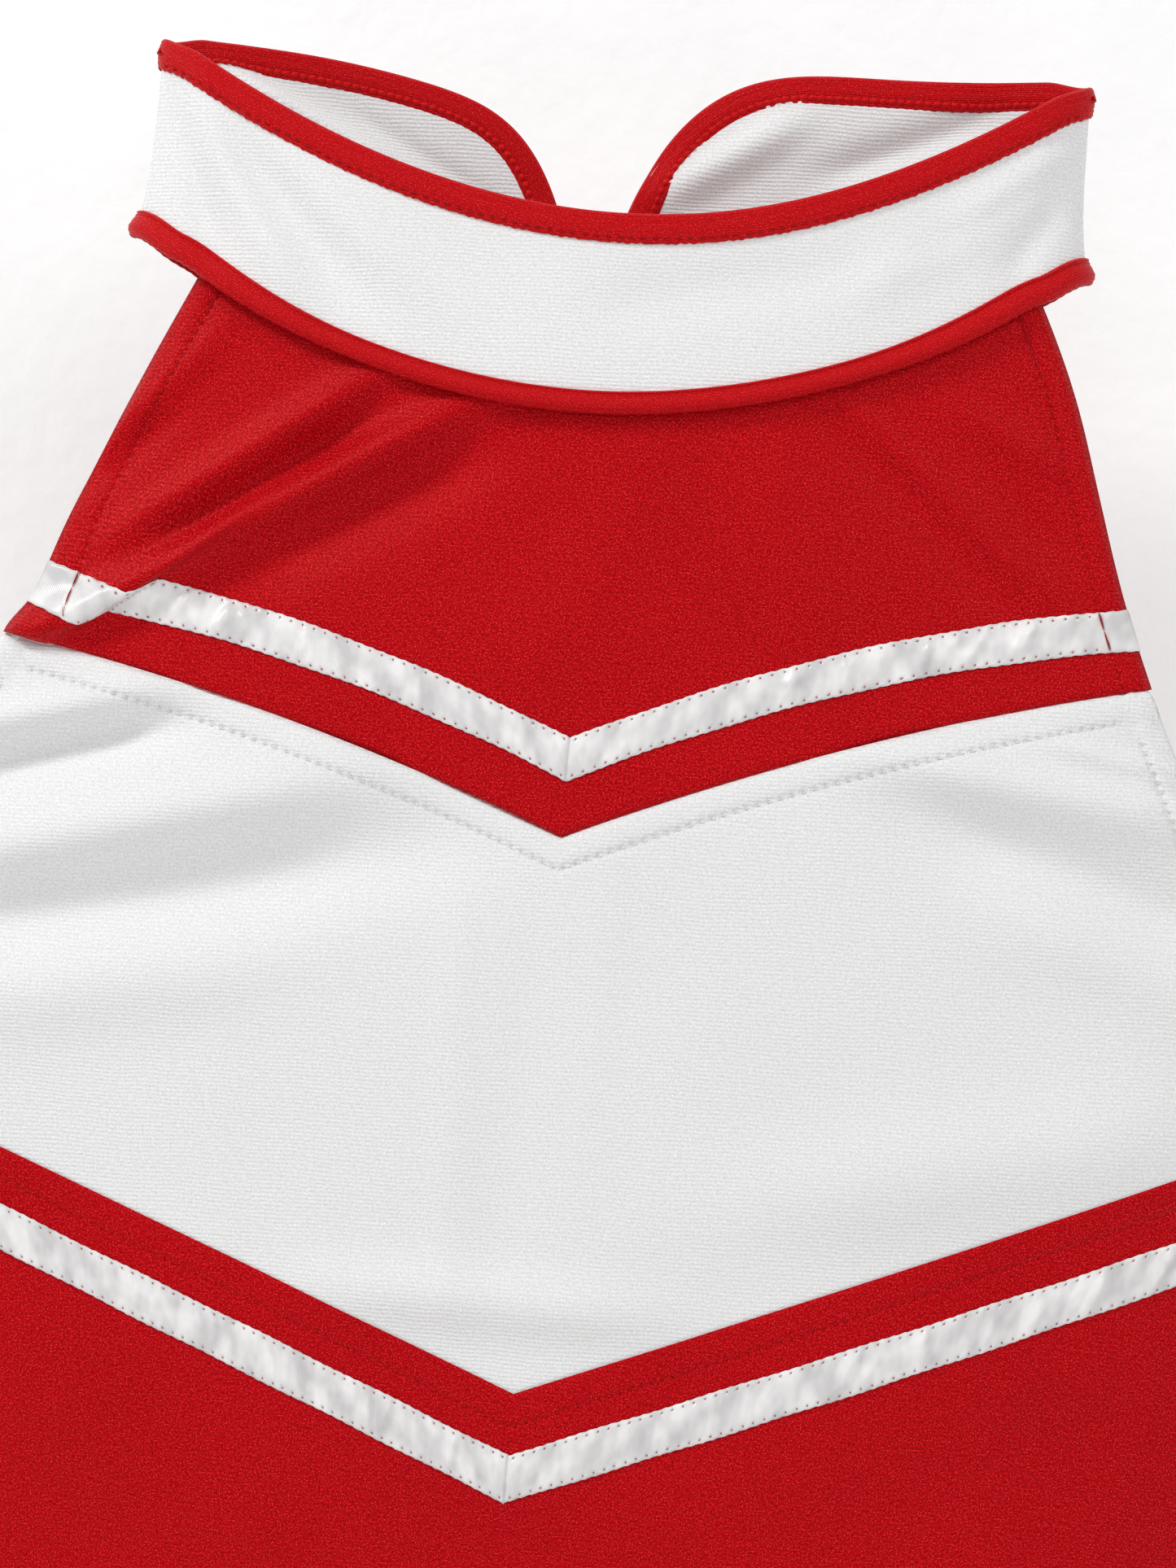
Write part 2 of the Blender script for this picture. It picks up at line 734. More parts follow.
@dataclass(frozen=True)
class Binding:
    """A folded, ribbed binding sewn over a cloth edge."""

    name: str
    path: Path
    tall: float = BINDING_TALL
    front: float = 1.15
    back: float = 1.25
    rib: float = 0.12
    rib_pitch: float = 0.95
    scallop: float = 0.15
    roll: float = 0.0
    slim: float = 0.0
    squareness: float = 0.62
    crease: float = 0.55
    dent: float = 0.16
    count: int = 56

    def build(self) -> bpy.types.Object:
        """Makes the binding, as a closed strip swept along its path."""
        s = self.path.lengths()
        narrow = 1 - self.slim / self.tall * ease((90.0 - np.abs(self.path.u)) / 40.0)
        turn = np.linspace(0, math.tau, self.count, endpoint=False)
        c, d = np.cos(turn), np.sin(turn)
        fall = np.sign(c) * np.abs(c) ** self.squareness * self.tall / 2
        mid, half = (self.front - self.back) / 2, (self.front + self.back) / 2
        out = mid + np.sign(d) * np.abs(d) ** self.squareness * half
        level = np.clip(fall / (self.tall / 2), -1, 1)
        flat = np.clip(1.25 - np.abs(level), 0, 1)
        out = out + np.sign(d) * self.rib * np.cos(fall * math.tau / self.rib_pitch) * flat
        out = out + self.roll * np.exp(-((level - 0.45) / 0.42) ** 2) * (d > 0) * flat
        out = out - self.crease * np.exp(-((level + 0.62) / 0.13) ** 2) * (d > 0) * (self.roll > 0)
        wave = np.sin(s * math.tau / 2.15) + 0.5 * np.sin(s * math.tau / 5.1 + 1.0)
        lower = np.clip(level, 0, 1) ** 6
        falls = fall[None, :] * narrow[:, None] + self.scallop * wave[:, None] * lower[None, :]
        pull = 1 + 0.6 * np.sin(s[:, None] * math.tau / STITCH_PITCH)
        dent = self.dent * np.exp(-((level - 0.72) / 0.10) ** 2) * pull
        outs = out[None, :] - np.sign(d) * dent * flat * (self.roll == 0)
        points, normal, down = self.path.frames()
        ring = points[:, None] + down[:, None] * falls[..., None] + normal[:, None] * outs[..., None]
        girth = np.cumsum(np.hypot(np.diff(fall, prepend=fall[:1]), np.diff(out, prepend=out[:1])))
        uv = np.stack(np.broadcast_arrays(s[:, None], girth[None, :]), axis=-1)
        index = np.arange(len(s) * self.count).reshape(len(s), self.count)
        faces = quads(np.concatenate([index, index[:, :1]], axis=1)).tolist()
        faces += [index[0][::-1].tolist(), index[-1].tolist()]
        piece = make_mesh(self.name, ring.reshape(-1, 3), faces, uv.reshape(-1, 2))
        fix_normals(piece)
        return piece


def fix_normals(piece: bpy.types.Object) -> None:
    """Turns every face of a closed mesh outwards."""
    bm = bmesh.new()
    bm.from_mesh(piece.data)
    bmesh.ops.recalc_face_normals(bm, faces=bm.faces)
    bm.to_mesh(piece.data)
    bm.free()


@dataclass(frozen=True)
class Thread:
    """A row of machine stitches."""

    length: float = 1.75
    pitch: float = STITCH_PITCH
    radius: float = 0.17
    rise: float = 0.10
    sides: int = 6
    jitter: float = 0.10
    side: int = 1
    margin: float = 0.4

    def sew(self, name: str, paths: Sequence[Path], lift: float = 0.0) -> bpy.types.Object:
        """Lays the stitches along paths, as one piece.

        Args:
            name: the piece's name.
            paths: the lines to sew.
            lift: height of the sewn face above the surface.

        Returns:
            The new object.
        """
        clouds = np.concatenate([self._row(path, lift, number) for number, path in enumerate(paths)])
        local = np.arange(clouds.shape[1]).reshape(-1, self.sides)
        around = quads(np.concatenate([local, local[:, :1]], axis=1))
        faces: list[list[int]] = []
        for base in range(0, clouds.shape[0] * clouds.shape[1], clouds.shape[1]):
            faces += (around + base).tolist()
            faces += [(local[0][::-1] + base).tolist(), (local[-1] + base).tolist()]
        flat = clouds.reshape(-1, 3)
        piece = make_mesh(name, flat, faces, flat[:, [0, 2]])
        fix_normals(piece)
        return piece

    def _row(self, path: Path, lift: float, seed: int) -> np.ndarray:
        """Points of one row's stitches: stitch by point by 3."""
        rng = np.random.default_rng(100 + seed)
        s = path.lengths()
        points, normal, down = path.frames()
        starts = np.arange(self.margin, s[-1] - self.length - self.margin, self.pitch)
        starts = starts + rng.normal(0, self.jitter, len(starts))
        t = np.linspace(0, 1, 5)
        at = starts[:, None] + t * self.length
        rise = lift - self.radius * 0.5 + self.rise * 2.2 * np.sin(np.pi * t)
        size = self.radius * np.array([0.35, 0.9, 1.0, 0.9, 0.35])
        angle = np.linspace(0, 2 * np.pi, self.sides, endpoint=False)

        def read(values: np.ndarray) -> np.ndarray:
            return np.stack([np.interp(at, s, values[:, k]) for k in range(3)], axis=-1)

        p, n, d = read(points), read(normal) * self.side, read(down)
        centre = p + n * rise[None, :, None]
        sine, cosine = np.sin(angle)[None, None, :, None], np.cos(angle)[None, None, :, None]
        out = sine * n[:, :, None] + cosine * d[:, :, None]
        cloud = centre[:, :, None] + out * size[None, :, None, None]
        return cloud.reshape(len(starts), -1, 3)


# ---- Finishes ----
Socket = bpy.types.NodeSocket


class Nodes:
    """A small hand for building a node tree."""

    def __init__(self, tree: bpy.types.NodeTree) -> None:
        """Works on one tree, emptied first."""
        self.tree = tree
        tree.nodes.clear()

    def new(self, kind: str, **settings: object) -> bpy.types.Node:
        """A node of a kind, with its settings."""
        node = self.tree.nodes.new(kind)
        for key, value in settings.items():
            setattr(node, key, value)
        return node

    def link(self, source: Socket, target: Socket) -> None:
        """Joins two sockets."""
        self.tree.links.new(source, target)

    def feed(self, target: Socket, value: "Socket | float | tuple") -> None:
        """Links a socket, or sets its value."""
        if isinstance(value, bpy.types.NodeSocket):
            self.link(value, target)
        else:
            target.default_value = value

    def math(self, operation: str, a: "Socket | float", b: "Socket | float" = 0.0) -> Socket:
        """A math node's result."""
        node = self.new("ShaderNodeMath", operation=operation)
        self.feed(node.inputs[0], a)
        self.feed(node.inputs[1], b)
        return node.outputs[0]

    def times(self, a: "Socket | float", b: "Socket | float") -> Socket:
        """A product."""
        return self.math("MULTIPLY", a, b)

    def plus(self, a: "Socket | float", b: "Socket | float") -> Socket:
        """A sum."""
        return self.math("ADD", a, b)

    def minus(self, a: "Socket | float", b: "Socket | float") -> Socket:
        """A difference."""
        return self.math("SUBTRACT", a, b)

    def over(self, a: "Socket | float", b: "Socket | float") -> Socket:
        """A quotient."""
        return self.math("DIVIDE", a, b)

    def wave(self, value: Socket, rate: float) -> Socket:
        """A sine of a value, from 0 to 1."""
        sine = self.math("MULTIPLY_ADD", self.math("SINE", self.times(value, rate)), 0.5)
        sine.node.inputs[2].default_value = 0.5
        return sine

    def span(self, value: Socket, low: float, high: float, to_low: float = 0.0,
             to_high: float = 1.0) -> Socket:
        """A value's range, mapped to another range and clamped."""
        node = self.new("ShaderNodeMapRange")
        for socket, number in zip(node.inputs[1:5], (low, high, to_low, to_high)):
            socket.default_value = number
        self.link(value, node.inputs[0])
        return node.outputs[0]

    def mix(self, factor: "Socket | float", a: "Socket | tuple", b: "Socket | tuple") -> Socket:
        """A mix of two colours."""
        node = self.new("ShaderNodeMix", data_type="RGBA")
        self.feed(node.inputs[0], factor)
        self.feed(node.inputs[6], a)
        self.feed(node.inputs[7], b)
        return node.outputs[2]

    def flat_position(self) -> tuple[Socket, Socket, Socket]:
        """The flat cloth position, as a vector and as its two numbers."""
        uv = self.new("ShaderNodeUVMap", uv_map=UV_NAME).outputs[0]
        split = self.new("ShaderNodeSeparateXYZ")
        self.link(uv, split.inputs[0])
        return uv, split.outputs[0], split.outputs[1]

    def stitch_position(self) -> tuple[Socket, Socket]:
        """Place along the nearest stitched line, and distance from it."""
        split = self.new("ShaderNodeSeparateXYZ")
        self.link(self.new("ShaderNodeUVMap", uv_map=STITCH_UV).outputs[0], split.inputs[0])
        return split.outputs[0], split.outputs[1]

    def noise(self, vector: Socket, scale: float, detail: float = 2.0) -> Socket:
        """A noise texture's value."""
        node = self.new("ShaderNodeTexNoise")
        node.inputs["Scale"].default_value = scale
        node.inputs["Detail"].default_value = detail
        self.link(vector, node.inputs["Vector"])
        return node.outputs["Fac"]


def node_group(name: str, inputs: Sequence[tuple[str, float]],
               outputs: Sequence[str]) -> tuple[Nodes, bpy.types.NodeTree]:
    """An empty node group with number inputs and outputs."""
    tree = bpy.data.node_groups.new(name, "ShaderNodeTree")
    for label, value in inputs:
        socket = tree.interface.new_socket(name=label, in_out="INPUT", socket_type="NodeSocketFloat")
        socket.default_value = value
    for label in outputs:
        tree.interface.new_socket(name=label, in_out="OUTPUT", socket_type="NodeSocketFloat")
    return Nodes(tree), tree


def build_knit_group() -> bpy.types.NodeTree:
    """Ribs of a fine knit: its height, the shade in its grooves and bright yarn specks."""
    nodes, tree = node_group("FineKnit", [("Pitch", 0.95), ("Stitch", 0.62), ("Wander", 0.5), ("Rib", 0.5)],
                             ["Height", "Groove", "Speck"])
    inputs, outputs = nodes.new("NodeGroupInput"), nodes.new("NodeGroupOutput")
    uv, across, up = nodes.flat_position()
    drift = nodes.times(nodes.minus(nodes.noise(uv, 0.045), 0.5), inputs.outputs["Wander"])
    row = nodes.over(nodes.plus(up, nodes.times(drift, 4.0)), inputs.outputs["Pitch"])
    rib = nodes.wave(row, math.tau)
    offset = nodes.times(nodes.math("FLOOR", row), 0.5)
    column = nodes.plus(nodes.over(across, inputs.outputs["Stitch"]), offset)
    loop = nodes.wave(column, math.tau)
    yarn = nodes.noise(uv, 1.7, 3.0)
    knots = nodes.times(nodes.times(loop, rib), 0.45)
    ribbed = nodes.times(nodes.plus(rib, knots), inputs.outputs["Rib"])
    nodes.link(nodes.plus(ribbed, nodes.times(yarn, 0.7)), outputs.inputs["Height"])
    mottle = nodes.span(nodes.noise(uv, 1.7, 2.0), 0.38, 0.62)
    furrow = nodes.times(nodes.minus(1.0, rib), inputs.outputs["Rib"])
    plain = nodes.times(mottle, nodes.minus(1.0, inputs.outputs["Rib"]))
    nodes.link(nodes.plus(furrow, plain), outputs.inputs["Groove"])
    nodes.link(nodes.span(nodes.noise(uv, 2.8, 1.0), 0.56, 0.68), outputs.inputs["Speck"])
    return tree


def build_needle_group() -> bpy.types.NodeTree:
    """Needle holes along a stitched line, and the dimple pulled round each."""
    nodes, tree = node_group("NeedleHoles", [("Pitch", STITCH_PITCH), ("Size", 0.28)],
                             ["Hole", "Dimple", "Line"])
    inputs, outputs = nodes.new("NodeGroupInput"), nodes.new("NodeGroupOutput")
    along, away = nodes.stitch_position()
    uv, _, _ = nodes.flat_position()
    shake = nodes.times(nodes.minus(nodes.noise(uv, 0.4), 0.5), 0.9)
    cell = nodes.math("FRACT", nodes.over(nodes.plus(along, shake), inputs.outputs["Pitch"]))
    side = nodes.times(nodes.minus(cell, 0.5), inputs.outputs["Pitch"])
    far = nodes.math("SQRT", nodes.plus(nodes.times(side, side), nodes.times(away, away)))
    ratio = nodes.over(far, inputs.outputs["Size"])
    nodes.link(nodes.span(ratio, 0.7, 1.25, 1.0, 0.0), outputs.inputs["Hole"])
    nodes.link(nodes.span(ratio, 0.6, 3.0, 1.0, 0.0), outputs.inputs["Dimple"])
    nodes.link(nodes.span(nodes.math("ABSOLUTE", away), 0.1, 1.3, 1.0, 0.0), outputs.inputs["Line"])
    return tree


def build_cloud_group() -> bpy.types.NodeTree:
    """Slow unevenness over a cloth, as dye and handling leave it."""
    nodes, tree = node_group("ClothCloud", [("Scale", 0.02)], ["Cloud"])
    inputs, outputs = nodes.new("NodeGroupInput"), nodes.new("NodeGroupOutput")
    uv, _, _ = nodes.flat_position()
    noise = nodes.new("ShaderNodeTexNoise")
    noise.inputs["Detail"].default_value = 4.0
    nodes.link(uv, noise.inputs["Vector"])
    nodes.link(inputs.outputs["Scale"], noise.inputs["Scale"])
    nodes.link(nodes.span(noise.outputs["Fac"], 0.3, 0.7), outputs.inputs["Cloud"])
    return tree


GROUPS = {"knit": build_knit_group(), "needle": build_needle_group(), "cloud": build_cloud_group()}
Colour = tuple[float, float, float, float]


def rgb(red: float, green: float | None = None, blue: float | None = None) -> Colour:
    """An opaque colour, or a grey where only one number is given."""
    return (red, red if green is None else green, red if blue is None else blue, 1.0)


def use_group(nodes: Nodes, key: str, **values: float) -> bpy.types.Node:
    """Places a shared group in a material, with its own values."""
    node = nodes.new("ShaderNodeGroup", node_tree=GROUPS[key])
    for label, value in values.items():
        node.inputs[label.replace("_", " ")].default_value = value
    return node


@dataclass(frozen=True)
class Finish:
    """What every finish states: its name, its slot and the shader's constant values."""

    name: str
    slot: Slot
    roughness: float = 0.6
    sheen: float = 0.2
    sheen_tint: Colour = rgb(1.0)
    specular: float = 0.4
    specular_tint: Colour = rgb(1.0)
    metallic: float = 0.0

    def material(self) -> bpy.types.Material:
        """Builds the material, or gives it back if it was built before."""
        found = bpy.data.materials.get(self.name)
        if found is not None:
            return found
        made = bpy.data.materials.new(self.name)
        made.use_nodes = True
        nodes = Nodes(made.node_tree)
        out = nodes.new("ShaderNodeOutputMaterial")
        shader = nodes.new("ShaderNodeBsdfPrincipled")
        nodes.link(shader.outputs[0], out.inputs[0])
        values = {"Roughness": self.roughness, "Sheen Weight": self.sheen, "Sheen Tint": self.sheen_tint,
                  "Specular IOR Level": self.specular, "Specular Tint": self.specular_tint,
                  "Metallic": self.metallic, "Sheen Roughness": 0.35}
        for label, value in values.items():
            shader.inputs[label].default_value = value
        self.dress(nodes, shader)
        return made

    def dress(self, nodes: Nodes, shader: bpy.types.Node) -> None:
        """Adds this finish's own colour, roughness and relief."""
        raise NotImplementedError

    @staticmethod
    def relief(nodes: Nodes, shader: bpy.types.Node, height: Socket, depth: float, strength: float) -> None:
        """Feeds a height, in millimetres of depth, to the shader's normal."""
        bump = nodes.new("ShaderNodeBump")
        bump.inputs["Distance"].default_value = depth * MM
        bump.inputs["Strength"].default_value = strength
        nodes.link(height, bump.inputs["Height"])
        nodes.link(bump.outputs[0], shader.inputs["Normal"])


@dataclass(frozen=True)
class Knit(Finish):
    """Fine-ribbed stretch knit."""

    colour: Colour = rgb(0.8)
    groove: Colour = rgb(0.6)
    speck: Colour = rgb(0.9)
    pitch: float = 0.95
    stitch: float = 0.62
    rib: float = 0.5
    groove_share: float = 0.5
    speck_share: float = 0.2
    cloud_share: float = 0.1
    depth: float = 0.22
    hole: Colour = rgb(0.3)
    hole_share: float = 0.5

    def dress(self, nodes: Nodes, shader: bpy.types.Node) -> None:
        """Ribs, grooves, bright yarn, slow unevenness and needle holes."""
        knit = use_group(nodes, "knit", Pitch=self.pitch, Stitch=self.stitch, Rib=self.rib)
        cloud = use_group(nodes, "cloud", Scale=0.02)
        shade = nodes.times(knit.outputs["Groove"], self.groove_share)
        cloth = nodes.mix(shade, self.colour, self.groove)
        cloth = nodes.mix(nodes.times(cloud.outputs["Cloud"], self.cloud_share), cloth, self.groove)
        cloth = nodes.mix(nodes.times(knit.outputs["Speck"], self.speck_share), cloth, self.speck)
        needle = use_group(nodes, "needle", Size=0.36)
        cloth = nodes.mix(nodes.times(needle.outputs["Hole"], self.hole_share), cloth, self.hole)
        nodes.link(cloth, shader.inputs["Base Color"])
        gloss = nodes.span(knit.outputs["Groove"], 0.0, 1.0, self.roughness - 0.06, self.roughness + 0.12)
        nodes.link(gloss, shader.inputs["Roughness"])
        pulled = nodes.plus(nodes.times(needle.outputs["Dimple"], 1.2),
                            nodes.times(needle.outputs["Line"], 0.9))
        self.relief(nodes, shader, nodes.minus(knit.outputs["Height"], pulled), self.depth, 0.7)


@dataclass(frozen=True)
class Satin(Finish):
    """Woven satin ribbon with needle holes along both edges."""

    colour: Colour = rgb(0.9, 0.88, 0.87)
    shade: Colour = rgb(0.74, 0.70, 0.69)
    hole: Colour = rgb(0.30, 0.03, 0.03)
    twill_rate: float = 6.5

    def dress(self, nodes: Nodes, shader: bpy.types.Node) -> None:
        """A fine twill, slow shade and the needle holes."""
        _, along, across = nodes.flat_position()
        slant = nodes.plus(nodes.times(along, 2.0), across)
        twill = nodes.wave(slant, self.twill_rate)
        needle = use_group(nodes, "needle")
        stretched = nodes.new("ShaderNodeCombineXYZ")
        nodes.link(nodes.times(along, 0.15), stretched.inputs[0])
        nodes.link(nodes.times(across, 0.10), stretched.inputs[1])
        streak = nodes.span(nodes.noise(stretched.outputs[0], 1.0, 2.0), 0.36, 0.64)
        cloth = nodes.mix(streak, self.colour, self.shade)
        cloth = nodes.mix(nodes.times(twill, 0.10), cloth, self.shade)
        cloth = nodes.mix(nodes.times(needle.outputs["Dimple"], 0.30), cloth, self.shade)
        cloth = nodes.mix(nodes.times(needle.outputs["Hole"], 0.85), cloth, self.hole)
        nodes.link(cloth, shader.inputs["Base Color"])
        gloss = nodes.span(twill, 0.0, 1.0, self.roughness, self.roughness + 0.08)
        nodes.link(gloss, shader.inputs["Roughness"])
        height = nodes.minus(nodes.times(twill, 0.15), nodes.times(needle.outputs["Dimple"], 1.4))
        self.relief(nodes, shader, height, 0.16, 0.8)


@dataclass(frozen=True)
class Plain(Finish):
    """Thread, elastic, lining, label or metal: one colour with fine lengthwise relief."""

    colour: Colour = rgb(0.8)
    shade: Colour = rgb(0.6)
    grain: float = 2.0
    depth: float = 0.05

    def dress(self, nodes: Nodes, shader: bpy.types.Node) -> None:
        """A fine grain in colour, roughness and relief."""
        geometry = nodes.new("ShaderNodeTexCoord").outputs["Object"]
        grain = nodes.noise(geometry, self.grain / MM, 2.0)
        share = nodes.span(grain, 0.3, 0.7)
        nodes.link(nodes.mix(share, self.colour, self.shade), shader.inputs["Base Color"])
        gloss = nodes.span(grain, 0.3, 0.7, self.roughness - 0.05, self.roughness + 0.08)
        nodes.link(gloss, shader.inputs["Roughness"])
        self.relief(nodes, shader, grain, self.depth, 0.5)


RED_GLINT = rgb(1.0, 0.12, 0.10)
WHITE_KNIT = Knit("white_fine_knit", Slot.WHITE_KNIT, roughness=0.62, sheen=0.10, specular=0.30,
                  colour=rgb(0.82), groove=rgb(0.58), speck=rgb(0.97), rib=0.3, groove_share=0.60,
                  speck_share=0.60, cloud_share=0.06, depth=0.30, hole=rgb(0.42, 0.42, 0.43),
                  hole_share=0.6)
RED_KNIT = Knit("red_satin_knit", Slot.RED_KNIT, roughness=0.46, sheen=0.06,
                sheen_tint=rgb(1.0, 0.05, 0.04), specular=0.30, specular_tint=RED_GLINT,
                colour=rgb(0.53, 0.001, 0.006), groove=rgb(0.24, 0.0, 0.002),
                speck=rgb(0.98, 0.05, 0.055), rib=0.2, groove_share=0.95, speck_share=0.6,
                cloud_share=0.22, depth=0.22, hole=rgb(0.12, 0.0, 0.002), hole_share=0.45)
RED_BINDING = Knit("red_ribbed_binding", Slot.BINDING, roughness=0.45, sheen=0.05,
                   sheen_tint=rgb(1.0, 0.05, 0.04), specular=0.28, specular_tint=RED_GLINT,
                   colour=rgb(0.56, 0.004, 0.008), groove=rgb(0.26, 0.002, 0.004),
                   speck=rgb(0.95, 0.05, 0.05), pitch=0.55, stitch=0.5, rib=0.6, groove_share=0.7,
                   speck_share=0.6, cloud_share=0.08, depth=0.16)
RIBBON = Satin("white_satin_ribbon", Slot.RIBBON, roughness=0.24, sheen=0.05, specular=0.6,
               colour=rgb(0.84, 0.83, 0.825), shade=rgb(0.56, 0.55, 0.55))
RED_THREAD = Plain("red_thread", Slot.BINDING, roughness=0.5, colour=rgb(0.36, 0.003, 0.006),
                   shade=rgb(0.22, 0.001, 0.003), specular_tint=RED_GLINT)
CHAIN_THREAD = Plain("red_chain_thread", Slot.BINDING, roughness=0.42, colour=rgb(0.66, 0.008, 0.010),
                     shade=rgb(0.46, 0.004, 0.006), specular_tint=RED_GLINT)
WHITE_THREAD = Plain("white_thread", Slot.WHITE_KNIT, roughness=0.5, colour=rgb(0.82), shade=rgb(0.66))
ELASTIC = Plain("woven_elastic", Slot.ELASTIC, roughness=0.7, colour=rgb(0.78, 0.78, 0.76),
                shade=rgb(0.60, 0.60, 0.58), grain=1.2)
LINING = Knit("white_lining", Slot.LINING, roughness=0.75, colour=rgb(0.80), groove=rgb(0.68, 0.68, 0.69),
              pitch=0.7, groove_share=0.3, depth=0.08)
LABEL = Plain("blank_label", Slot.LABEL, roughness=0.4, colour=rgb(0.86, 0.86, 0.84),
              shade=rgb(0.76, 0.76, 0.74), grain=3.0)
METAL = Plain("plated_wire", Slot.METAL, roughness=0.22, sheen=0.0, metallic=1.0,
              colour=rgb(0.72, 0.72, 0.74), shade=rgb(0.62, 0.62, 0.65))


# ---- Sub-assemblies ----
def place(piece: bpy.types.Object, finish: Finish, body: Body | None = Body.ROOT,
          slot: Slot | None = None) -> bpy.types.Object:
    """Dresses a piece, puts it on its body and, where it has a solid's name, lets it stand for it.

    Args:
        piece: the finished mesh object.
        finish: its material.
        body: the body that it rides on, or None where it bends between two.
        slot: the record's slot, where it isn't the finish's own.

    Returns:
        The same object.
    """
    piece.data.materials.append(finish.material())
    if body is not None:
        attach(piece, body.value)
    if piece.name.endswith(SEWN):
        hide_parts(piece.name.removesuffix(SEWN))
    LOG.info("%s: %d faces", piece.name, len(piece.data.polygons))
    return piece


def hang(panel: Panel) -> None:
    """Declares a panel as a sheet of hanging cloth, with its trims."""
    size, area = panel.flat_size()


def hem_relief(u: np.ndarray, v: np.ndarray) -> np.ndarray:
    """The turned armhole hem: thicker cloth outside its stitched line."""
    inset = armhole_inset(u, v)
    ridge = 0.42 * ease((HEM_FOLD - inset) / 1.2 + 0.5)
    groove = -0.42 * np.exp(-(((inset - HEM_FOLD) / 0.8) ** 2))
    return ridge + groove - 0.9 * np.exp(-np.maximum(0.0, inset) / 0.8)


def yoke_relief(u: np.ndarray, v: np.ndarray) -> np.ndarray:
    """The yoke's turned hems, its rolled seam edge and the light crest of its tuck."""
    seam = np.maximum(0.0, v - yoke_seam(u))
    return hem_relief(u, v) + 0.35 * np.exp(-seam / 6.0) - 0.6 * np.exp(-seam / 0.8) + TUCK.crest(u, v)


def chest_relief(u: np.ndarray, v: np.ndarray) -> np.ndarray:
    """The chest panel's turned hems and the seam allowance under its topstitch."""
    seam = below(yoke_seam, u, v)
    top = 0.34 * ease((TOPSTITCH - seam) / 1.2 + 0.5) - 0.32 * np.exp(-(((seam - TOPSTITCH) / 0.8) ** 2))
    edge = -0.75 * np.exp(-np.maximum(0.0, seam) / 0.9)
    foot = np.maximum(0.0, below(on_tube(chevron), u, v) * -1.0)
    inner = ease((150.0 - np.abs(u)) / 12.0)
    hems = hem_relief(u, v) * ease((np.abs(u) - HEM_STARTS) / 8.0)
    return hems + (top + edge) * inner - 0.15 * np.exp(-foot / 0.9)


def lower_relief(u: np.ndarray, v: np.ndarray) -> np.ndarray:
    """The lower panel's seam allowance under its faint stitched line."""
    seam = below(on_tube(chevron), u, v)
    raised = 0.26 * ease((TOPSTITCH - seam) / 2.0 + 0.5) - 0.12 * np.exp(-(((seam - TOPSTITCH) / 0.8) ** 2))
    return raised - 0.12 * np.exp(-np.maximum(0.0, seam) / 0.8) - 0.75 * ease(-seam / 0.7)


TUCK = Tuck()
COLLAR_FRONT = Bodice(1.0, COLLAR_FOLDS, standoff=COLLAR_STANDOFF, collar=True)
COLLAR_BACK = Bodice(-1.0, NAPE_FOLDS, collar=True, sway=-5.0)
YOKE = Bodice(1.0, YOKE_FOLDS, tuck=TUCK, relief=yoke_relief, lean=3.7)
YOKE_BASE = Bodice(1.0, YOKE_FOLDS, tuck=TUCK, relief=hem_relief, lean=3.7)
CHEST = Bodice(1.0, CHEST_FOLDS, tuck=TUCK, relief=chest_relief)
LOWER_FRONT = Bodice(1.0, CHEST_FOLDS + LOWER_FOLDS, relief=lower_relief)
LOWER_BACK = Bodice(-1.0, BACK_FOLDS, relief=lower_relief)
BACK = Bodice(-1.0, BACK_FOLDS)


@dataclass(frozen=True)
class CollarFront:
    """The white collar front between its two red bindings."""

    cover: float = 2.0

    def build(self) -> None:
        """Makes the collar front, its bindings and its stitches."""
        panel = Panel("collar_front", COLLAR_FRONT, lowered(collar_top, self.cover),
                      lowered(collar_hem, -UNDERLAP), NECK_HALF, rounded=True)
        cloth = place(panel.build(), WHITE_KNIT)
        top, low = (Path.along(COLLAR_FRONT, edge, -NECK_HALF, NECK_HALF, rounded=True)
                    for edge in (collar_top, collar_hem))
        top = top.inset(BINDING_TALL / 2)
        sewing = Thread(margin=FOLD_MARGIN)
        trims = [
            place(Binding("collar_top_binding", top).build(), RED_BINDING),
            place(Binding("collar_bottom_binding", low, tall=6.4, front=1.3, back=1.5, roll=0.7, scallop=0.1,
                          slim=1.1).build(), RED_BINDING),
            place(sewing.sew("collar_front_stitches", [top.inset(BINDING_SEAM)], lift=1.05), RED_THREAD),
        ]
        hang(panel)


